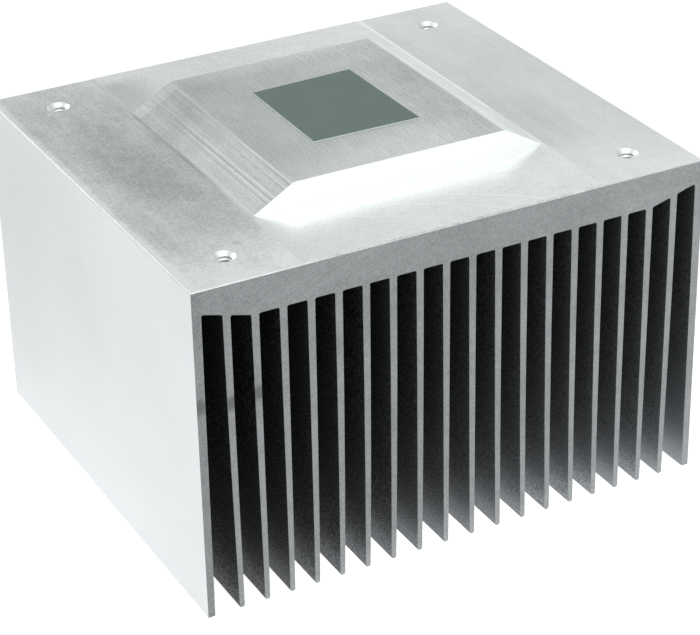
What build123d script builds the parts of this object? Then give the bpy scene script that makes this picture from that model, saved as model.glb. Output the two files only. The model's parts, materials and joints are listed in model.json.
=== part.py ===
from build123d import *

import os
from math import pi, radians, sin, tan

# A passive processor heat sink: one length of extruded aluminium comb, sawn off, milled and tapped,
# with a sheet of thermal pad laid on its contact pedestal. It stands on its fin tips, base up.
# X runs across the fins, Y along the extrusion, Z up from the fin tips, and -Y is the front.
# All lengths are in millimetres.

# Bar as sawn
WIDTH = 95.0
LENGTH = 85.0
BASE_TOP = 60.0  # from the fin tips to the base's upper face
BASE_THICKNESS = 6.4
BAR_CORNER = 0.4  # die radius along the base's two long upper edges

# Base where it thins towards the sides
SIDE_THICKNESS = 4.1  # beside the outer fins
THINNED_SLOTS = 2  # slots under the incline, on each side

# Fins
FIN_COUNT = 20
OUTER_FIN_ROOT = 1.6
OUTER_FIN_TIP = 1.25
FIN_ROOT = 1.33
FIN_TIP = 0.9
FIN_TIP_RADIUS = 0.36
SLOT_CORNER = 0.35  # die radius where a fin leaves the base

# The long thin fins come off the die in a slight wave: a tip strays sideways by up to FIN_SWAY,
# as a sine along X, and the fin bows so that half way down it has moved by only SWAY_AT_MIDDLE of that
FIN_SWAY = 0.55
SWAY_WAVELENGTH = 68.0
SWAY_AT_MIDDLE = 0.3

# Ridge along the middle of the base, left as the contact pedestal
RIDGE_HEIGHT = 4.4
RIDGE_SLOPE = 30.0  # degrees, both sides
SHOULDER = 19.9  # flat of the base from each side to the ridge's foot
RIDGE_FOOT_RADIUS = 1.4
RIDGE_EDGE_RADIUS = 0.9
MILLED_FRONT = 18.9  # ridge milled away from the front end
MILLED_BACK = 18.1  # and from the back end
MILLED_STEP = 0.15  # the milled floor stays this much above the extruded face
DEBURR = 0.15  # chamfer along the sawn upper edges

# Four tapped holes, 4-40 UNC, sunk from the base's upper face
HOLE_INSET_X = 9.75
HOLE_INSET_Y = 8.75
THREAD_DIAMETER = 2.84
TAP_DRILL = 2.26
SINK_DIAMETER = 4.1
SINK_ANGLE = 90.0
DRILL_POINT_ANGLE = 118.0
HOLE_FLOOR = 0.8  # metal left between the drill's point and the slot below
DRILL_RUNOUT = 0.7  # plain drilled hole beyond the thread

# Thermal pad, cut a little out of square
PAD_WIDTH = 19.4
PAD_LENGTH = 24.0
PAD_THICKNESS = 0.2
PAD_OUT_OF_SQUARE = 0.35

# Comb
half_width = WIDTH / 2
slot_count = FIN_COUNT - 1
fins_across = 2 * OUTER_FIN_ROOT + (FIN_COUNT - 2) * FIN_ROOT
slot_width = (WIDTH - fins_across) / slot_count
pitch = slot_width + FIN_ROOT

# Base and ridge
incline_run = THINNED_SLOTS * slot_width + (THINNED_SLOTS - 1) * FIN_ROOT
incline_rise = BASE_THICKNESS - SIDE_THICKNESS
foot_x = half_width - SHOULDER
ridge_x = foot_x - RIDGE_HEIGHT / tan(radians(RIDGE_SLOPE))
ridge_top = BASE_TOP + RIDGE_HEIGHT

# Pedestal
pedestal_front = MILLED_FRONT - LENGTH / 2
pedestal_back = LENGTH / 2 - MILLED_BACK
pedestal_middle = (pedestal_front + pedestal_back) / 2

# Tapped holes
hole_span_x = WIDTH - 2 * HOLE_INSET_X
hole_span_y = LENGTH - 2 * HOLE_INSET_Y
drill_point = TAP_DRILL / 2 / tan(radians(DRILL_POINT_ANGLE / 2))


def base_underside(x):
    """Height of the base's underside: flat in the middle, rising in a straight incline to the sides."""
    from_outer_fin = half_width - OUTER_FIN_ROOT - abs(x)
    thinned = 1 - min(max(from_outer_fin / incline_run, 0), 1)
    return BASE_TOP - BASE_THICKNESS + thinned * incline_rise


metal_under_hole = BASE_TOP - base_underside(half_width - HOLE_INSET_X)
drill_depth = metal_under_hole - HOLE_FLOOR - drill_point
thread_depth = drill_depth - DRILL_RUNOUT


def fin_wall(fin, side):
    """One wall of a fin as (root, middle, tip) points: side -1 is its left wall and +1 its right."""
    if fin == 0 or fin == FIN_COUNT - 1:
        outward = -1 if fin == 0 else 1
        root = outward * (half_width - OUTER_FIN_ROOT)
        tip = outward * (half_width - OUTER_FIN_TIP)
        middle = (root + tip) / 2
    else:
        centre = -half_width + OUTER_FIN_ROOT - FIN_ROOT / 2 + fin * pitch
        sway = FIN_SWAY * sin(2 * pi * centre / SWAY_WAVELENGTH)
        root = centre + side * FIN_ROOT / 2
        tip = centre + sway + side * FIN_TIP / 2
        middle = centre + SWAY_AT_MIDDLE * sway + side * (FIN_ROOT + FIN_TIP) / 4
    root_z = base_underside(root)
    return (root, root_z), (middle, root_z / 2), (tip, 0)


def draw_wall(fin, side):
    """Draws a fin's wall: straight on the two outer fins, a shallow arc on the others."""
    root, middle, tip = fin_wall(fin, side)
    if fin == 0 or fin == FIN_COUNT - 1 or FIN_SWAY == 0:
        Line(root, tip)
    else:
        ThreePointArc(root, middle, tip)


# Heat sink: the whole comb is one extruded section, and the rest is cut from it
with BuildPart() as heat_sink:
    with BuildSketch(Plane.XZ) as comb:
        with BuildLine():
            Polyline(
                (-half_width, 0),
                (-half_width, BASE_TOP),
                (-foot_x, BASE_TOP),
                (-ridge_x, ridge_top),
                (ridge_x, ridge_top),
                (foot_x, BASE_TOP),
                (half_width, BASE_TOP),
                (half_width, 0),
            )
            for slot in range(slot_count):
                draw_wall(slot, 1)
                Line(fin_wall(slot, 1)[0], fin_wall(slot + 1, -1)[0])
                draw_wall(slot + 1, -1)
            for fin in range(1, FIN_COUNT - 1):
                Line(fin_wall(fin, -1)[2], fin_wall(fin, 1)[2])
            Line((-half_width, 0), fin_wall(0, 1)[2])
            Line((half_width, 0), fin_wall(FIN_COUNT - 1, -1)[2])
        make_face()

        at_tips = comb.vertices().filter_by_position(Axis.Y, -FIN_TIP, FIN_TIP)
        fillet(at_tips.sort_by(Axis.X)[2:-2], FIN_TIP_RADIUS)
        lowest_roof = BASE_TOP - BASE_THICKNESS - SLOT_CORNER
        highest_roof = BASE_TOP - SIDE_THICKNESS + SLOT_CORNER
        fillet(comb.vertices().filter_by_position(Axis.Y, lowest_roof, highest_roof), SLOT_CORNER)
        fillet(comb.vertices().group_by(Axis.Y)[-1], RIDGE_EDGE_RADIUS)
        on_base = comb.vertices().filter_by_position(Axis.Y, BASE_TOP - BAR_CORNER, BASE_TOP + BAR_CORNER)
        fillet(on_base.sort_by(Axis.X)[1:-1], RIDGE_FOOT_RADIUS)
        on_base = comb.vertices().filter_by_position(Axis.Y, BASE_TOP - BAR_CORNER, BASE_TOP + BAR_CORNER)
        fillet([on_base.sort_by(Axis.X)[0], on_base.sort_by(Axis.X)[-1]], BAR_CORNER)
    extrude(amount=LENGTH / 2, both=True)

    # The ridge is milled off both ends, down to just above the extruded face, between upright walls
    with BuildSketch(Plane.XY.offset(BASE_TOP + MILLED_STEP)):
        with Locations((0, -LENGTH / 2)):
            Rectangle(WIDTH, MILLED_FRONT, align=(Align.CENTER, Align.MIN))
        with Locations((0, LENGTH / 2)):
            Rectangle(WIDTH, MILLED_BACK, align=(Align.CENTER, Align.MAX))
    extrude(amount=RIDGE_HEIGHT, mode=Mode.SUBTRACT)

    # A file run along the upper edges of both ends takes off the saw's burr
    with BuildSketch(Plane.YZ):
        with BuildLine():
            Polyline(
                (LENGTH / 2, BASE_TOP - DEBURR),
                (LENGTH / 2, BASE_TOP + 2 * MILLED_STEP),
                (LENGTH / 2 - DEBURR - 2 * MILLED_STEP, BASE_TOP + 2 * MILLED_STEP),
                close=True,
            )
        make_face()
        mirror(about=Plane.YZ)
    extrude(amount=half_width, both=True, mode=Mode.SUBTRACT)

    # Tapped holes: countersunk and threaded, then plain down to the point of the tap drill
    with Locations((0, 0, BASE_TOP)):
        with GridLocations(hole_span_x, hole_span_y, 2, 2):
            CounterSinkHole(THREAD_DIAMETER / 2, SINK_DIAMETER / 2, thread_depth, SINK_ANGLE)
            Hole(TAP_DRILL / 2, drill_depth)
            with Locations((0, 0, -drill_depth)):
                point_down = (Align.CENTER, Align.CENTER, Align.MAX)
                Cone(0, TAP_DRILL / 2, drill_point, align=point_down, mode=Mode.SUBTRACT)

# Thermal pad: a thin sheet cut by hand, laid in the middle of the pedestal
with BuildPart() as thermal_pad:
    with BuildSketch(Plane((0, pedestal_middle, ridge_top))):
        with BuildLine():
            Polyline(
                (-PAD_WIDTH / 2, PAD_LENGTH / 2 - PAD_OUT_OF_SQUARE),
                (PAD_WIDTH / 2, PAD_LENGTH / 2 + PAD_OUT_OF_SQUARE),
                (PAD_WIDTH / 2 + PAD_OUT_OF_SQUARE, -PAD_LENGTH / 2 - PAD_OUT_OF_SQUARE),
                (-PAD_WIDTH / 2 - PAD_OUT_OF_SQUARE, -PAD_LENGTH / 2),
                close=True,
            )
        make_face()
    extrude(amount=PAD_THICKNESS)

heat_sink.part.label = "heat_sink"
thermal_pad.part.label = "thermal_pad"

os.makedirs("parts", exist_ok=True)
export_step(heat_sink.part, "parts/heat_sink.step")
export_step(thermal_pad.part, "parts/thermal_pad.step")
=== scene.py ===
import json
import math

import bpy
import numpy as np
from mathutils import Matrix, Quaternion, Vector


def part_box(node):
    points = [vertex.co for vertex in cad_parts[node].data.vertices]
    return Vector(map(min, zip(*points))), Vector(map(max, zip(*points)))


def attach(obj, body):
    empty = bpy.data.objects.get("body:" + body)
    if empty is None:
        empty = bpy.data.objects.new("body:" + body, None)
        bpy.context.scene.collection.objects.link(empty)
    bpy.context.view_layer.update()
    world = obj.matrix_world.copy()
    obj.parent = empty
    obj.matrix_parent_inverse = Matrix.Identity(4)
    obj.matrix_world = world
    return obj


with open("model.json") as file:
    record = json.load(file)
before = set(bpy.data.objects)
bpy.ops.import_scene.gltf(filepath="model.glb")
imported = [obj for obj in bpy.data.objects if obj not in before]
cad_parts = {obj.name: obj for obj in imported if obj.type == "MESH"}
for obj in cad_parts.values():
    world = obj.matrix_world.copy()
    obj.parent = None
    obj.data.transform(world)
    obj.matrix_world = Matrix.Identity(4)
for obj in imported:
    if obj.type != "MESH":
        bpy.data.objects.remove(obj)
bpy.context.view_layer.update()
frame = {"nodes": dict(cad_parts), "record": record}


# Heat sink, as it leaves the extrusion die. One bar of soft aluminium, its long faces left as
# extruded: a fine satin skin, clouded by handling, with faint die lines that run along the bar.

BASE_TOP = 0.0600  # metres from the fin tips to the base's upper face
HALF_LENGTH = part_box("heat_sink")[1].y


def add_node(tree, kind, inputs=(), **options):
    """Adds a shader node, sets its options, and fills its sockets with values or links."""
    node = tree.nodes.new(kind)
    for name, value in options.items():
        setattr(node, name, value)
    for socket, value in dict(inputs).items():
        if isinstance(value, bpy.types.NodeSocket):
            tree.links.new(value, node.inputs[socket])
        else:
            node.inputs[socket].default_value = value
    return node


def calculate(tree, operation, *values):
    """One step of arithmetic on sockets or numbers."""
    return add_node(tree, "ShaderNodeMath", enumerate(values), operation=operation).outputs[0]


def coordinates(tree, place):
    """The X, Y and Z of a place, as three sockets."""
    parts = add_node(tree, "ShaderNodeSeparateXYZ", {"Vector": place}).outputs
    return parts["X"], parts["Y"], parts["Z"]


def grain(tree, place, size, detail=2.0):
    """An even noise whose blotches are about size metres across."""
    inputs = {"Vector": place, "Scale": 1 / size, "Detail": detail}
    return add_node(tree, "ShaderNodeTexNoise", inputs).outputs["Fac"]


def die_lines(tree, place, width, length):
    """Noise drawn out along Y, as the die scores the metal that runs through it."""
    scale = (1 / width, 1 / length, 1 / width)
    drawn = add_node(tree, "ShaderNodeMapping", {"Vector": place, "Scale": scale})
    inputs = {"Vector": drawn.outputs["Vector"], "Scale": 1.0, "Detail": 3.0}
    return add_node(tree, "ShaderNodeTexNoise", inputs).outputs["Fac"]


def fade(tree, value, start, end):
    """A mask: nought where value is start or beyond it, rising smoothly to one at end."""
    inputs = {"Value": value, "From Min": start, "From Max": end}
    return add_node(
        tree, "ShaderNodeMapRange", inputs, interpolation_type="SMOOTHSTEP"
    ).outputs["Result"]


def spot(tree, place, centre, radius):
    """A mask: one at the centre, falling to nought at the radius."""
    inputs = {0: place, 1: centre}
    away = add_node(tree, "ShaderNodeVectorMath", inputs, operation="DISTANCE").outputs["Value"]
    return fade(tree, away, radius, 0.0)


def both(tree, first, second):
    """The product of two masks, which is one only where both are."""
    return calculate(tree, "MULTIPLY", first, second)


def middle_tone(tone):
    """A mark that moves the middle tone from 0.5 to this one."""
    return (tone, 1.0, 0.0)


def patch(tree, mask, share, relief=0.0):
    """A mark that adds its whole share where the mask is one, and nothing where it is nought."""
    return (calculate(tree, "ADD", mask, 0.5), share, relief)


def weigh(tree, patterns):
    """The middle value 0.5, plus each pattern's swing about 0.5 times its share."""
    total = 0.5 - 0.5 * sum(share for _, share in patterns)
    for pattern, share in patterns:
        total = calculate(tree, "MULTIPLY_ADD", pattern, share, total)
    return total


def new_material(name):
    """A material of this name, with its node tree and its shader."""
    material = bpy.data.materials.new(name)
    material.use_nodes = True
    return material, material.node_tree, material.node_tree.nodes["Principled BSDF"]


def colour_ramp(tree, value, stops):
    """Colours that follow value through the (position, colour) stops."""
    ramp = add_node(tree, "ShaderNodeValToRGB", {"Fac": value})
    while len(ramp.color_ramp.elements) < len(stops):
        ramp.color_ramp.elements.new(1.0)
    for element, (position, colour) in zip(ramp.color_ramp.elements, stops):
        element.position = position
        element.color = (*colour, 1.0)
    return ramp.outputs["Color"]


def add_relief(tree, shader, height, depth):
    """Tilts the shader's normal as if the surface rose by height times depth metres."""
    bump = add_node(tree, "ShaderNodeBump", {"Height": height, "Strength": 1.0, "Distance": depth})
    tree.links.new(bump.outputs["Normal"], shader.inputs["Normal"])


def bare_metal(name, dark, light, roughness, depth, marks):
    """Bare aluminium whose tone, gloss and relief follow marks(tree, place).

    Each mark is (pattern, share of the tone, share of the relief). The colour runs from dark
    to light with the tone, the roughness between its two values, and the relief is depth
    metres deep.
    """
    material, tree, shader = new_material(name)
    shader.inputs["Metallic"].default_value = 1.0
    patterns = marks(tree, add_node(tree, "ShaderNodeTexCoord").outputs["Object"])
    tone = weigh(tree, [(pattern, share) for pattern, share, _ in patterns])
    colour = colour_ramp(tree, tone, [(0.0, dark), (1.0, light)])
    tree.links.new(colour, shader.inputs["Base Color"])
    inputs = {"Value": tone, "To Min": roughness[0], "To Max": roughness[1]}
    gloss = add_node(tree, "ShaderNodeMapRange", inputs)
    tree.links.new(gloss.outputs["Result"], shader.inputs["Roughness"])
    relief = weigh(tree, [(pattern, share) for pattern, _, share in patterns])
    add_relief(tree, shader, relief, depth)
    return material


BLOOM_MIDDLE_Y = 0.0025  # where the upper skin is darkest
PITS = [(-0.0347, 0.0380), (-0.0406, 0.0312), (-0.0353, 0.0276)]  # X and Y of small bright dents
PIT_RADIUS = 0.00035
SMUDGE = (-0.0338, -0.0306)  # X and Y of one dull spot
SMUDGE_RADIUS = 0.0011


def skin_marks(tree, place, middle, rise, clouds, pores):
    """Clouds, pores and die lines. The tone is middle half way along, and rise more at the ends."""
    _, y, _ = coordinates(tree, place)
    from_middle = calculate(tree, "SUBTRACT", y, BLOOM_MIDDLE_Y)
    part_way = calculate(tree, "DIVIDE", from_middle, HALF_LENGTH)
    bloom = calculate(tree, "MULTIPLY", part_way, part_way)
    return [
        middle_tone(calculate(tree, "MULTIPLY_ADD", bloom, rise, middle)),
        (die_lines(tree, place, 0.0070, 0.018), clouds, 0.0),
        (grain(tree, place, 0.0030), 0.5 * clouds, 0.0),
        (grain(tree, place, 0.00045, 3.0), pores, 0.6),
        (die_lines(tree, place, 0.0006, 0.030), 0.25, 0.4),
    ]


def left_marks(tree, place):
    """More clouded than the right, with a painted highlight along its rim, pale along its outer
    edge and at the front, and marked.
    """
    x, y, _ = coordinates(tree, place)
    painted_rim_highlight = fade(tree, x, -0.0455, -0.0473)
    outer_edge = fade(tree, x, -0.0385, -0.0445)
    not_back = fade(tree, y, 0.026, 0.012)
    not_front = fade(tree, y, -0.022, -0.002)
    marks = skin_marks(tree, place, middle=0.225, rise=0.51, clouds=0.80, pores=1.05)
    marks += [
        # painted highlight along the rim of the upper face
        patch(tree, painted_rim_highlight, 0.50),
        patch(tree, both(tree, outer_edge, both(tree, not_back, not_front)), 0.34),
        patch(tree, fade(tree, y, -0.008, -0.018), 0.11),
        patch(tree, fade(tree, y, -0.022, -0.036), 0.12),
        patch(tree, spot(tree, place, (*SMUDGE, BASE_TOP), SMUDGE_RADIUS), -0.35),
    ]
    for pit in PITS:
        marks.append(patch(tree, spot(tree, place, (*pit, BASE_TOP), PIT_RADIUS), 1.2))
    return marks


def right_marks(tree, place):
    """Smoother than the left, and a little dull beside the ridge towards the front."""
    x, y, _ = coordinates(tree, place)
    inner = fade(tree, x, 0.042, 0.034)
    towards_front = fade(tree, y, 0.002, -0.008)
    not_at_front = fade(tree, y, -0.030, -0.022)
    dull = both(tree, inner, both(tree, towards_front, not_at_front))
    marks = skin_marks(tree, place, middle=0.34, rise=0.36, clouds=0.45, pores=0.50)
    return marks + [patch(tree, dull, -0.16)]


def side_marks(tree, place):
    """Faint clouds and pores; on the upper half a painted reflection, paler towards the front and
    darker to the back.
    """
    _, y, z = coordinates(tree, place)
    upper = fade(tree, z, 0.028, 0.056)
    to_front = calculate(tree, "SUBTRACT", fade(tree, y, 0.040, -0.020), 0.55)
    return [
        (grain(tree, place, 0.022), 0.28, 0.0),
        (grain(tree, place, 0.00050), 0.34, 0.7),
        (die_lines(tree, place, 0.0012, 0.120), 0.07, 0.3),
        # painted reflection of the floor: the upper half lighter towards the front, darker to the
        # back
        patch(tree, calculate(tree, "MULTIPLY", upper, to_front), 0.36),
    ]


left_skin = bare_metal(
    "left_skin",
    dark=(0.495, 0.527, 0.527),
    light=(0.950, 0.995, 0.995),
    roughness=(0.40, 0.46),
    depth=0.000006,
    marks=left_marks,
)
right_skin = bare_metal(
    "right_skin",
    dark=(0.60, 0.63, 0.63),
    light=(0.95, 0.99, 0.99),
    roughness=(0.40, 0.35),
    depth=0.000006,
    marks=right_marks,
)
side_skin = bare_metal(
    "side_skin",
    dark=(0.550, 0.573, 0.578),
    light=(0.770, 0.797, 0.805),
    roughness=(0.44, 0.38),
    depth=0.000004,
    marks=side_marks,
)


# Ridge along the middle of the base. It is extruded too, but the die scores it deeper: short
# lines on its top, long ones down its slopes, and a few bold ones that die out to the back.

PEDESTAL_FRONT_Y = -0.0236
PEDESTAL_BACK_Y = 0.0244
SCORE_FADE = 0.009  # metres on either side of its end over which a score dies out
SCORES = [  # X of each score, its half width, its share of the tone, and the Y of its end
    (-0.02031, 0.00008, 1.64, -0.008),
    (-0.02058, 0.00007, -0.14, 0.022),
    (-0.02072, 0.00006, -0.49, -0.014),
    (-0.02142, 0.00010, 0.33, -0.003),
    (-0.02180, 0.00006, -0.45, -0.014),
    (-0.02300, 0.00004, -0.33, -0.008),
    (-0.02350, 0.00009, 0.33, 0.005),
    (-0.02398, 0.00007, -0.66, 0.008),
    (-0.02436, 0.00008, 0.33, 0.008),
    (-0.02484, 0.00006, -0.49, -0.004),
]


def score(tree, x, y, at, half_width, end):
    """A mask: one within half_width of X = at, and nought elsewhere, dying out round Y = end."""
    line = calculate(tree, "COMPARE", x, at, half_width)
    return both(tree, line, fade(tree, y, end + SCORE_FADE, end - SCORE_FADE))


def ridge_marks(tree, place):
    """Short die lines over soft clouds, darker down both sides and paler at the front and back."""
    x, y, _ = coordinates(tree, place)
    left = fade(tree, x, 0.010, -0.004)
    front = fade(tree, y, -0.012, PEDESTAL_FRONT_Y)
    return [
        (grain(tree, place, 0.010), 0.7, 0.0),
        (die_lines(tree, place, 0.00040, 0.006), 0.8, 0.6),
        (die_lines(tree, place, 0.00018, 0.0025), 0.5, 0.3),
        (grain(tree, place, 0.00035, 3.0), 1.6, 0.3),
        patch(tree, fade(tree, x, -0.010, -0.018), -0.06),
        patch(tree, fade(tree, x, 0.008, 0.018), -0.26),
        patch(tree, front, 0.18),
        patch(tree, both(tree, left, front), 0.22),
        patch(tree, fade(tree, y, 0.0190, PEDESTAL_BACK_Y), 0.30),
    ]


ridge_skin = bare_metal(
    "ridge_skin",
    dark=(0.45, 0.48, 0.48),
    light=(0.82, 0.86, 0.86),
    roughness=(0.40, 0.32),
    depth=0.000008,
    marks=ridge_marks,
)


def slope_marks(tree, place):
    """Long die lines and the bold scores, duller to the back, with the right slope paler."""
    x, y, _ = coordinates(tree, place)
    right = calculate(tree, "GREATER_THAN", x, 0.0)
    left = calculate(tree, "SUBTRACT", 1.0, right)
    behind = fade(tree, y, -0.004, 0.014)
    back_end = fade(tree, y, PEDESTAL_BACK_Y - 0.0040, PEDESTAL_BACK_Y - 0.0025)
    marks = [
        middle_tone(0.41),
        (grain(tree, place, 0.008), 0.4, 0.0),
        (die_lines(tree, place, 0.00020, 0.030), 0.65, 0.6),
        (die_lines(tree, place, 0.00100, 0.050), 0.4, 0.3),
        (grain(tree, place, 0.00045, 3.0), 0.7, 0.2),
        patch(tree, right, 0.29),
        patch(tree, behind, -0.27),
        patch(tree, both(tree, right, behind), 0.24),
        patch(tree, both(tree, back_end, left), 0.25),
    ]
    for at, half_width, share, end in SCORES:
        marks.append(patch(tree, score(tree, x, y, at, half_width, end), share))
    return marks


slope_skin = bare_metal(
    "slope_skin",
    dark=(0.43, 0.46, 0.46),
    light=(0.955, 0.995, 0.995),
    roughness=(0.42, 0.34),
    depth=0.000008,
    marks=slope_marks,
)


def drawn_edge_marks(tree, place):
    """Fine die lines, rubbed paler at both ends of the pedestal."""
    _, y, _ = coordinates(tree, place)
    return [
        (die_lines(tree, place, 0.00012, 0.006), 0.8, 0.4),
        (grain(tree, place, 0.003), 0.5, 0.0),
        patch(tree, fade(tree, y, 0.008, 0.022), 0.20),
        patch(tree, fade(tree, y, -0.014, -0.022), 0.15),
    ]


drawn_edge = bare_metal(
    "drawn_edge",
    dark=(0.50, 0.53, 0.53),
    light=(0.92, 0.96, 0.96),
    roughness=(0.46, 0.40),
    depth=0.000004,
    marks=drawn_edge_marks,
)


def crease_marks(tree, place):
    """Painted shade in the left foot's crease and a painted highlight along the right foot, both
    fading to a paler front.
    """
    x, y, _ = coordinates(tree, place)
    left = calculate(tree, "LESS_THAN", x, 0.0)
    right = calculate(tree, "SUBTRACT", 1.0, left)
    behind = fade(tree, y, -0.014, -0.002)
    along_pedestal = fade(tree, y, PEDESTAL_BACK_Y + 0.0010, PEDESTAL_BACK_Y - 0.0030)
    front_ledge = fade(tree, y, PEDESTAL_FRONT_Y, PEDESTAL_FRONT_Y - 0.003)
    back_ledge = fade(tree, y, PEDESTAL_BACK_Y, PEDESTAL_BACK_Y + 0.003)
    return [
        # painted shade in the crease of the left foot, towards the back
        patch(tree, both(tree, both(tree, left, behind), along_pedestal), -0.32),
        # painted highlight along the right foot, towards the back
        patch(tree, both(tree, right, behind), 0.60),
        patch(tree, fade(tree, y, -0.006, -0.018), 0.30),
        # painted highlight where the left foot meets the front ledge
        patch(tree, both(tree, left, front_ledge), 0.62),
        patch(tree, both(tree, right, front_ledge), -0.10),
        patch(tree, both(tree, left, back_ledge), 0.16),
        (grain(tree, place, 0.006), 0.5, 0.0),
        (grain(tree, place, 0.0005), 0.5, 0.5),
    ]


foot_crease = bare_metal(
    "foot_crease",
    dark=(0.42, 0.45, 0.45),
    light=(0.94, 0.98, 0.98),
    roughness=(0.50, 0.42),
    depth=0.000006,
    marks=crease_marks,
)


# The base's two long upper edges, rounded by the die. Their colour is painted darker along the
# crown of the round, a painted shade against the lamps' reflection there, and paler where the round
# runs into the faces beside it.

BAR_CORNER = 0.0004  # radius of the round, in metres


def crown_shade_marks(tree, place):
    """Painted shade along the crown of the round, paler down to the side and palest up to the flat.
    """
    _, _, z = coordinates(tree, place)
    up_to_flat = fade(tree, z, BASE_TOP - 0.30 * BAR_CORNER, BASE_TOP - 0.05 * BAR_CORNER)
    down_to_side = fade(tree, z, BASE_TOP - 0.45 * BAR_CORNER, BASE_TOP - 0.75 * BAR_CORNER)
    return [
        # painted shade along the crown, against the lamps' reflection
        middle_tone(0.16),
        patch(tree, up_to_flat, 0.80),
        patch(tree, down_to_side, 0.33),
        (grain(tree, place, 0.0015), 0.25, 0.2),
    ]


crown_shaded_round = bare_metal(
    "crown_shaded_round",
    dark=(0.40, 0.43, 0.43),
    light=(0.95, 0.99, 0.99),
    roughness=(0.50, 0.42),
    depth=0.000004,
    marks=crown_shade_marks,
)


# What cutters leave bright or blunt on the bar: a file along the upper edges of the sawn ends,
# and the drill, countersink and tap in its four holes.

def filed_marks(tree, place):
    """Patchy, with a painted highlight along the bevel: bright at the left, and a little at the
    right.
    """
    x, _, _ = coordinates(tree, place)
    return [
        middle_tone(0.34),
        # painted highlight along the bevel, bright at the left and a little at the right
        patch(tree, fade(tree, x, -0.020, -0.036), 0.50),
        patch(tree, fade(tree, x, 0.008, 0.030), 0.20),
        (grain(tree, place, 0.003), 1.2, 0.0),
        (grain(tree, place, 0.0006), 0.6, 0.6),
    ]


filed_edge = bare_metal(
    "filed_edge",
    dark=(0.50, 0.53, 0.53),
    light=(0.96, 0.995, 0.995),
    roughness=(0.50, 0.42),
    depth=0.000006,
    marks=filed_marks,
)


def cut_marks(tree, place):
    """A faint, even grain."""
    return [(grain(tree, place, 0.0015), 1.0, 0.2)]


cut_metal = bare_metal(
    "cut_metal",
    dark=(0.88, 0.91, 0.91),
    light=(0.96, 0.98, 0.98),
    roughness=(0.50, 0.42),
    depth=0.000004,
    marks=cut_marks,
)


# Sawn ends. A circular saw cuts the bar to length and leaves its arcs across the base and the
# front edge of every fin: a matt, darker grey than the drawn skin.

SAW_CENTRE = (0.043, -0.101)  # X and Z of the blade's middle, in metres
RUBS = [(-0.0472, 0.0397), (-0.0413, 0.0390), (-0.0366, 0.0394)]  # X and Z of dark rubs on fins
RUB_RADIUS = 0.0020


def banded_noise(tree, value, pitch, detail):
    """Noise that follows value alone, and changes with every pitch of it."""
    inputs = {"W": value, "Scale": 1 / pitch, "Detail": detail}
    return add_node(tree, "ShaderNodeTexNoise", inputs, noise_dimensions="1D").outputs["Fac"]


def saw_arcs(tree, across, up, pitch):
    """Noise that is constant on circles about across = up = 0 and changes every pitch metres."""
    squares = calculate(tree, "MULTIPLY_ADD", up, up, calculate(tree, "MULTIPLY", across, across))
    return banded_noise(tree, calculate(tree, "SQRT", squares), pitch, 2.0)


def sawn_marks(tree, place):
    """Arcs of the saw's teeth under an even grain, fainter to the right, and rubs on three fins."""
    x, _, z = coordinates(tree, place)
    across = calculate(tree, "SUBTRACT", x, SAW_CENTRE[0])
    up = calculate(tree, "SUBTRACT", z, SAW_CENTRE[1])
    bite = calculate(tree, "MULTIPLY_ADD", fade(tree, x, 0.010, -0.030), 0.65, 0.35)
    teeth = calculate(tree, "SUBTRACT", saw_arcs(tree, across, up, 0.0003), 0.5)
    marks = [
        patch(tree, calculate(tree, "MULTIPLY", teeth, bite), 0.42, relief=0.4),
        (saw_arcs(tree, across, up, 0.0025), 0.14, 0.0),
        (grain(tree, place, 0.012), 0.35, 0.0),
        (grain(tree, place, 0.0016), 0.20, 0.0),
        (grain(tree, place, 0.0004), 0.65, 0.5),
        patch(tree, fade(tree, x, 0.000, 0.030), 0.10),
        patch(tree, fade(tree, x, -0.0450, -0.0465), -0.12),
    ]
    for rub_x, rub_z in RUBS:
        rub = spot(tree, place, (rub_x, -HALF_LENGTH, rub_z), RUB_RADIUS)
        marks.append(patch(tree, rub, -0.7))
    return marks


sawn_end = bare_metal(
    "sawn_end",
    dark=(0.171, 0.182, 0.184),
    light=(0.422, 0.443, 0.447),
    roughness=(0.60, 0.48),
    depth=0.000015,
    marks=sawn_marks,
)


# Slots between the fins. Nothing reaches in to finish them, so their skin stays as the die left it,
# dull; its colour is painted near black, the painted shade of the deep slots, and lighter to the
# right, low down there and at the tips, as painted light from the floor.

HALF_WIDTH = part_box("heat_sink")[1].x


def slot_shade_marks(tree, place):
    """Specks and die lines, with painted light growing to the right, most of all low down there,
    and at the tips.
    """
    x, _, z = coordinates(tree, place)
    to_right = calculate(tree, "DIVIDE", calculate(tree, "ADD", x, HALF_WIDTH), 2 * HALF_WIDTH)
    lower = fade(tree, z, 0.045, 0.012)
    tips = fade(tree, z, 0.012, 0.0)
    return [
        # painted light, growing to the right
        middle_tone(calculate(tree, "MULTIPLY_ADD", to_right, 0.50, 0.07)),
        (grain(tree, place, 0.0003, 3.0), 1.9, 0.5),
        (die_lines(tree, place, 0.0015, 0.100), 0.16, 0.5),
        patch(tree, lower, -0.05),
        # painted light from the floor at the tips and low down to the right
        patch(tree, tips, 0.19),
        patch(tree, both(tree, to_right, lower), 0.30),
    ]


# the near-black dark end is painted shade of the deep slots
slot_painted_shade = bare_metal(
    "slot_painted_shade",
    dark=(0.007, 0.009, 0.011),
    light=(0.325, 0.343, 0.358),
    roughness=(0.62, 0.52),
    depth=0.00001,
    marks=slot_shade_marks,
)


# Milled ends of the base. A wide face cutter, run past each end, clears the ridge away. Its edge
# leaves a brighter floor with long shallow arcs, and an upright wall at each end of the pedestal.

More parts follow.
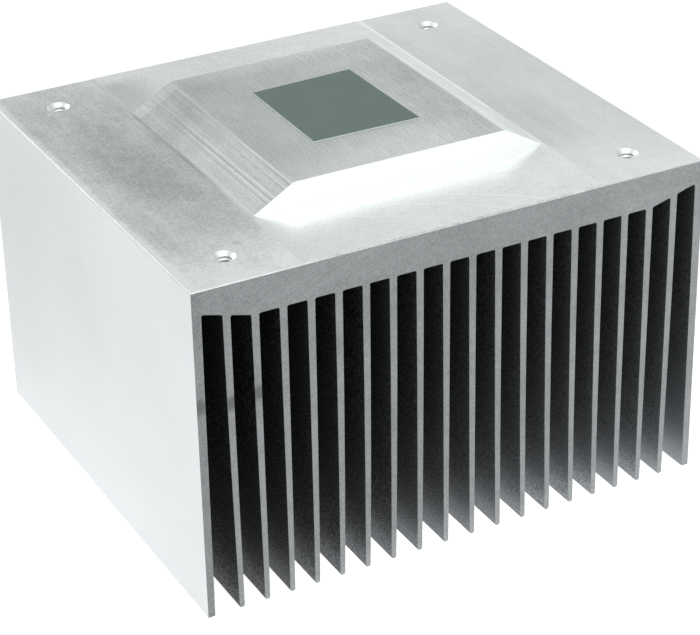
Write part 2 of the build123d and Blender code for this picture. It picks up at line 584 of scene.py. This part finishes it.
CUTTER_RADIUS = 0.066
CUTTER_PATH_Y = CUTTER_RADIUS + PEDESTAL_BACK_Y  # of the cutter's middle, from the bar's middle
CUTTER_FEED = 0.0004  # metres from one arc to the next
DEEP_TURNS = [  # metres along X where a tooth bit deeper, the scratch's half width and its share
    (-0.0445, 0.00028, 1.2),
    (-0.0350, 0.00020, 0.8),
    (-0.0282, 0.00028, 1.2),
]
SCRATCH_START_Y = -0.0315
SCRATCH_FADE = 0.0015  # metres on either side of its start over which a scratch begins


def milled_marks(tree, place):
    """The cutter's edge at each turn: x less the half chord of its circle is constant on one arc.

    The bar is turned end for end between the two cuts, so x changes sign with them.
    """
    x, y, _ = coordinates(tree, place)
    from_path = calculate(tree, "SUBTRACT", calculate(tree, "ABSOLUTE", y), CUTTER_PATH_Y)
    square = calculate(tree, "MULTIPLY", from_path, from_path)
    half_chord = calculate(tree, "SQRT", calculate(tree, "SUBTRACT", CUTTER_RADIUS**2, square))
    end_sign = calculate(tree, "MULTIPLY", calculate(tree, "SIGN", y), -1.0)
    turn = calculate(tree, "SUBTRACT", calculate(tree, "MULTIPLY", x, end_sign), half_chord)
    specks = fade(tree, grain(tree, place, 0.0007), 0.66, 0.74)
    marks = [
        middle_tone(0.68),
        (banded_noise(tree, turn, CUTTER_FEED, 3.0), 0.7, 0.5),
        (grain(tree, place, 0.015), 0.6, 0.0),
        (grain(tree, place, 0.0016), 0.4, 0.0),
        (grain(tree, place, 0.00035, 3.0), 1.6, 0.5),
        patch(tree, specks, 0.5),
    ]
    begun = fade(tree, y, SCRATCH_START_Y + SCRATCH_FADE, SCRATCH_START_Y - SCRATCH_FADE)
    for deep_turn, half_width, share in DEEP_TURNS:
        scratch = calculate(tree, "COMPARE", turn, deep_turn, half_width)
        marks.append(patch(tree, both(tree, scratch, begun), share))
    return marks


def front_marks(tree, place):
    """The same, and paler towards the left."""
    x, _, _ = coordinates(tree, place)
    left = fade(tree, x, -0.010, -0.026)
    return milled_marks(tree, place) + [patch(tree, left, 0.20)]


def back_marks(tree, place):
    """The same, and darker at its left end, short of the sawn edge."""
    x, y, _ = coordinates(tree, place)
    left_end = fade(tree, x, -0.017, -0.026)
    short_of_edge = fade(tree, y, 0.0405, 0.0360)
    return milled_marks(tree, place) + [patch(tree, both(tree, left_end, short_of_edge), -0.66)]


milled_front = bare_metal(
    "milled_front",
    dark=(0.64, 0.68, 0.68),
    light=(0.955, 0.995, 0.995),
    roughness=(0.40, 0.38),
    depth=0.000004,
    marks=front_marks,
)
milled_back = bare_metal(
    "milled_back",
    dark=(0.65, 0.685, 0.685),
    light=(0.96, 0.995, 0.995),
    roughness=(0.46, 0.50),
    depth=0.000004,
    marks=back_marks,
)


def wall_marks(tree, place):
    """A fine grain under a finer one, which gives most of the relief."""
    return [(grain(tree, place, 0.0010), 0.6, 0.3), (grain(tree, place, 0.0002), 0.4, 0.7)]


milled_wall = bare_metal(
    "milled_wall",
    dark=(0.84, 0.86, 0.86),
    light=(0.95, 0.96, 0.96),
    roughness=(0.24, 0.18),
    depth=0.000002,
    marks=wall_marks,
)


# The surfaces of the bar, told apart by where each face of the mesh lies and which way it turns.
# A face takes the first finish in the list whose condition it meets.

MILLED_FLOOR = BASE_TOP + 0.00015  # where the cutter stopped, just above the extruded face
RIDGE_FOOT_X = 0.0276  # where the ridge's slopes meet the base
RIDGE_EDGE_X = 0.0200  # where they meet the ridge's top
RIDGE_SLOPE = math.radians(30)
HOLE_REACH = 0.0022  # metres from a hole's axis to just outside its countersink
HOLE_DEPTH = 0.006  # metres down to just below the drill's point
CORNER_REACH = 0.0006  # metres that take in the rounds and the filed bevels of the base's edges
EDGE_REACH = 0.0008  # metres to either side that take in the rounds of the ridge's edges
FOOT_REACH = 0.0010  # metres to either side that take in the fillets of its feet


def face_values(mesh, what):
    """One vector for each face of the mesh, as three arrays."""
    values = np.zeros(3 * len(mesh.polygons))
    mesh.polygons.foreach_get(what, values)
    return values.reshape(-1, 3).T


def near(values, target, reach):
    """True where the values lie within reach of the target."""
    return np.abs(values - target) < reach


board_screws = next(m for m in frame["record"]["mounts"] if m["name"] == "board_screws")
HOLE_X = board_screws["dims"]["spacing_x_mm"] / 2000  # half the spacing, in metres
HOLE_Y = board_screws["dims"]["spacing_y_mm"] / 2000

heat_sink = frame["nodes"]["heat_sink"]
x, y, z = face_values(heat_sink.data, "center")
_, normal_y, normal_z = face_values(heat_sink.data, "normal")
from_middle = np.abs(x)
above_base = z > BASE_TOP - CORNER_REACH
end_face = np.abs(normal_y) > 0.99
off_ends = ~near(np.abs(y), HALF_LENGTH, 0.001)
level = normal_z > 0.999
on_milled_floor = above_base & level & near(z, MILLED_FLOOR, 0.00003)
above_milled_floor = z > MILLED_FLOOR + 0.00005
tilted = above_base & (normal_z < 0.9999) & (normal_z > 0.01)
sloping = near(normal_z, math.cos(RIDGE_SLOPE), 0.001)
rounded = tilted & ~sloping
hole_distance = np.hypot(from_middle - HOLE_X, np.abs(y) - HOLE_Y)
in_hole = (hole_distance < HOLE_REACH) & ~level & (z > BASE_TOP - HOLE_DEPTH)
finishes = [
    (cut_metal, in_hole),
    (milled_wall, end_face & above_milled_floor),
    (foot_crease, end_face & above_base & off_ends),
    (sawn_end, end_face),
    (filed_edge, above_base & (np.abs(normal_y) > 0.01)),
    (milled_front, on_milled_floor & (y < 0)),
    (milled_back, on_milled_floor),
    (crown_shaded_round, tilted & near(from_middle, HALF_WIDTH, CORNER_REACH)),
    (foot_crease, rounded & near(from_middle, RIDGE_FOOT_X, FOOT_REACH)),
    (drawn_edge, rounded & near(from_middle, RIDGE_EDGE_X, EDGE_REACH)),
    (slope_skin, above_base & sloping),
    (ridge_skin, above_base & (from_middle < RIDGE_EDGE_X)),
    (side_skin, near(from_middle, HALF_WIDTH, 0.00001)),
    (left_skin, above_base & (x < 0)),
    (right_skin, above_base),
    (slot_painted_shade, z < BASE_TOP),
]
heat_sink.data.materials.clear()
for material, _ in finishes:
    heat_sink.data.materials.append(material)
chosen = np.select([faces for _, faces in finishes], np.arange(len(finishes)), 0)
heat_sink.data.polygons.foreach_set("material_index", chosen.astype(np.int32))


# Threads in the four holes. Each is cut by a 4-40 tap, so the crests are a helix of one pitch
# a turn that stands in from the bore, and its two ends run out to nothing.

THREAD_PITCH = 0.000635
THREAD_BORE = board_screws["dims"]["hole_r_mm"] / 1000  # radius of the bore, in metres
THREAD_CREST = 0.00114  # radius at the crests
THREAD_OVERLAP = 0.00004  # metres by which the thread's root stands in the wall of the bore
THREAD_TOP = BASE_TOP - 0.00055  # height at which the helix starts
THREAD_DEPTH = 0.0036  # metres down to its end
RUN_OUT = 0.35  # turns over which a crest grows at either end
LEAST_GROWTH = 0.02  # share of its full height with which a crest starts
PROFILE = np.array(  # shares of the way in to the crest, and of a pitch up
    [(-0.04, 0.0), (0.0, 0.46), (1.0, 0.07), (1.0, -0.07), (0.0, -0.46)]
)
STEPS_A_TURN = 40


def thread_helix(centre_x, centre_y):
    """The profile's ring carried down a helix: vertices (steps x ring) and their faces.

    At turn t the profile stands at angle 2 pi t and height top - pitch t. It shrinks towards
    the two ends, where the crest grows from almost nothing.
    """
    turns = THREAD_DEPTH / THREAD_PITCH
    steps = int(turns * STEPS_A_TURN)
    turn = np.linspace(0, turns, steps)[:, None]
    growth = np.clip(np.minimum(turn, turns - turn) / RUN_OUT, LEAST_GROWTH, 1)
    into_bore = growth * PROFILE[:, 0]
    up = growth * PROFILE[:, 1]
    radius = THREAD_BORE + THREAD_OVERLAP - into_bore * (THREAD_BORE - THREAD_CREST)
    angle = 2 * np.pi * turn
    points = np.stack(
        [
            centre_x + radius * np.cos(angle),
            centre_y + radius * np.sin(angle),
            THREAD_TOP - THREAD_PITCH * (turn - up),
        ],
        axis=-1,
    ).reshape(-1, 3)
    count = len(PROFILE)
    ring = np.arange(count)
    here = count * np.arange(steps - 1)[:, None] + ring
    beside = count * np.arange(steps - 1)[:, None] + (ring + 1) % count
    faces = np.stack([here, beside, beside + count, here + count], axis=-1).reshape(-1, 4)
    ends = [ring[::-1].tolist(), (count * (steps - 1) + ring).tolist()]
    return points, faces.tolist() + ends


points = []
faces = []
for side_x in (-1, 1):
    for side_y in (-1, 1):
        helix, helix_faces = thread_helix(side_x * HOLE_X, side_y * HOLE_Y)
        start = sum(len(earlier) for earlier in points)
        points.append(helix)
        faces += [[start + corner for corner in face] for face in helix_faces]
thread_mesh = bpy.data.meshes.new("hole_threads")
thread_mesh.from_pydata(np.concatenate(points).tolist(), [], faces)
thread_mesh.update()
hole_threads = bpy.data.objects.new("hole_threads", thread_mesh)
bpy.context.scene.collection.objects.link(hole_threads)
thread_mesh.materials.append(cut_metal)
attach(hole_threads, "root")


# Thermal pad: a thin sheet of filled silicone, cut by hand, matt grey-green and barely mottled.
# It lies on the pedestal, and the cut edge around it is painted pale, a painted highlight along the
# edge.

def filled_silicone(name, dark, light):
    """Matt silicone, mottled between two colours by the filler in it."""
    material, tree, shader = new_material(name)
    shader.inputs["Roughness"].default_value = 0.6
    shader.inputs["Specular IOR Level"].default_value = 0.3
    place = add_node(tree, "ShaderNodeTexCoord").outputs["Object"]
    filler = weigh(tree, [(grain(tree, place, 0.0002), 0.6), (grain(tree, place, 0.008), 0.4)])
    colour = colour_ramp(tree, filler, [(0.0, dark), (1.0, light)])
    tree.links.new(colour, shader.inputs["Base Color"])
    add_relief(tree, shader, filler, 0.00001)
    return material


pad_face = filled_silicone("pad_face", dark=(0.093, 0.136, 0.124), light=(0.155, 0.218, 0.202))
# the cut edge is painted pale, a painted highlight
pad_edge_painted_highlight = filled_silicone("pad_edge_painted_highlight", dark=(0.62, 0.68, 0.66), light=(0.76, 0.82, 0.80))

thermal_pad = frame["nodes"]["thermal_pad"]
thermal_pad.data.materials.clear()
thermal_pad.data.materials.append(pad_face)
thermal_pad.data.materials.append(pad_edge_painted_highlight)
upright = np.abs(face_values(thermal_pad.data, "normal")[2]) < 0.5
thermal_pad.data.polygons.foreach_set("material_index", upright.astype(np.int32))


# Studio: an opal table top, lit faintly from below and most of all right under the part, in a
# bright surround, with soft boxes over it.

FLOOR_SIZE = 12.0  # metres
GLOW_REACH = 0.4  # metres from the middle of the floor
GLOW = [(0.1, 0.64), (0.3, 0.26), (0.7, 0.34)]  # share of the glow's reach, radiance
UNDER_PART = 0.55  # share by which the glow grows under the part and just beyond its ends
SKY = [(0.0, 1.03), (0.25, 1.11), (0.45, 0.09), (0.62, 0.58), (1.0, 0.93)]  # height, radiance


def greys(stops):
    """The (position, colour) stops for (position, radiance) ones."""
    return [(position, (radiance, radiance, radiance)) for position, radiance in stops]


corner = FLOOR_SIZE / 2
floor_mesh = bpy.data.meshes.new("floor")
floor_mesh.from_pydata(
    [(-corner, -corner, 0), (corner, -corner, 0), (corner, corner, 0), (-corner, corner, 0)],
    [],
    [(0, 1, 2, 3)],
)
floor = bpy.data.objects.new("floor", floor_mesh)
bpy.context.scene.collection.objects.link(floor)
opal_top, tree, opal = new_material("opal_top")
opal.inputs["Base Color"].default_value = (0.85, 0.85, 0.85, 1.0)
opal.inputs["Roughness"].default_value = 0.9
opal.inputs["Specular IOR Level"].default_value = 0.0
place = add_node(tree, "ShaderNodeTexCoord").outputs["Object"]
reach = add_node(tree, "ShaderNodeVectorMath", {0: place}, operation="LENGTH").outputs["Value"]
glow = colour_ramp(tree, calculate(tree, "DIVIDE", reach, GLOW_REACH), greys(GLOW))
tree.links.new(glow, opal.inputs["Emission Color"])
across, along, _ = coordinates(tree, place)
from_axis = calculate(tree, "ABSOLUTE", across)
from_centre = calculate(tree, "ABSOLUTE", along)
between_sides = fade(tree, from_axis, HALF_WIDTH, HALF_WIDTH - 0.002)
between_ends = fade(tree, from_centre, HALF_LENGTH + 0.007, HALF_LENGTH + 0.003)
under = both(tree, between_ends, between_sides)
strength = calculate(tree, "MULTIPLY_ADD", under, UNDER_PART, 1.0)
tree.links.new(strength, opal.inputs["Emission Strength"])
floor_mesh.materials.append(opal_top)

world = bpy.data.worlds.new("surround")
bpy.context.scene.world = world
world.use_nodes = True
tree = world.node_tree
direction = add_node(tree, "ShaderNodeTexCoord").outputs["Generated"]
_, _, height = coordinates(tree, direction)
surround = colour_ramp(tree, height, greys(SKY))
tree.links.new(surround, tree.nodes["Background"].inputs["Color"])
bpy.context.scene.view_settings.view_transform = "Standard"


def soft_box(name, centre, size, radiance):
    """A square lamp, seen in reflections alone, that faces the part and gives radiance."""
    lamp = bpy.data.lights.new(name, "AREA")
    lamp.shape = "SQUARE"
    lamp.size = size
    lamp.energy = radiance * math.pi * size**2
    box = bpy.data.objects.new(name, lamp)
    bpy.context.scene.collection.objects.link(box)
    box.location = Vector(centre)
    box.rotation_mode = "QUATERNION"
    to_part = Vector((0, 0, BASE_TOP)) - box.location
    box.rotation_quaternion = to_part.to_track_quat("-Z", "Y")
    box.visible_camera = False


soft_box("key_box", (0.34, -0.71, 0.48), size=0.40, radiance=1.48)
soft_box("top_box", (-0.28, -0.53, 1.10), size=0.8, radiance=1.4)
soft_box("left_box", (-0.48, 0.78, 0.42), size=0.40, radiance=3.4)
soft_box("right_card", (0.34, 0.37, 0.40), size=0.32, radiance=0.39)


# Camera: where the photograph's stood, to the left of the front and well above it. Its axis is in
# the middle of the picture, so uprights that the photograph shows straightened lean a little here.

AZIMUTH = math.radians(-27.72)
ELEVATION = math.radians(28.51)
ROLL = math.radians(-1.23)
DISTANCE = 0.4387
AIM = Vector((0.0003, -0.0035, 0.0245))
LENS = 126.0  # millimetres, on a sensor 36 mm wide

back = Vector(
    (
        math.sin(AZIMUTH) * math.cos(ELEVATION),
        -math.cos(AZIMUTH) * math.cos(ELEVATION),
        math.sin(ELEVATION),
    )
)
camera_data = bpy.data.cameras.new("camera")
camera_data.lens = LENS
camera_data.clip_start = 0.02
camera_data.clip_end = 30.0
camera = bpy.data.objects.new("camera", camera_data)
bpy.context.scene.collection.objects.link(camera)
camera.rotation_mode = "QUATERNION"
camera.rotation_quaternion = (-back).to_track_quat("-Z", "Y") @ Quaternion((0, 0, 1), ROLL)
camera.location = AIM + DISTANCE * back
bpy.context.scene.camera = camera

bpy.context.view_layer.update()
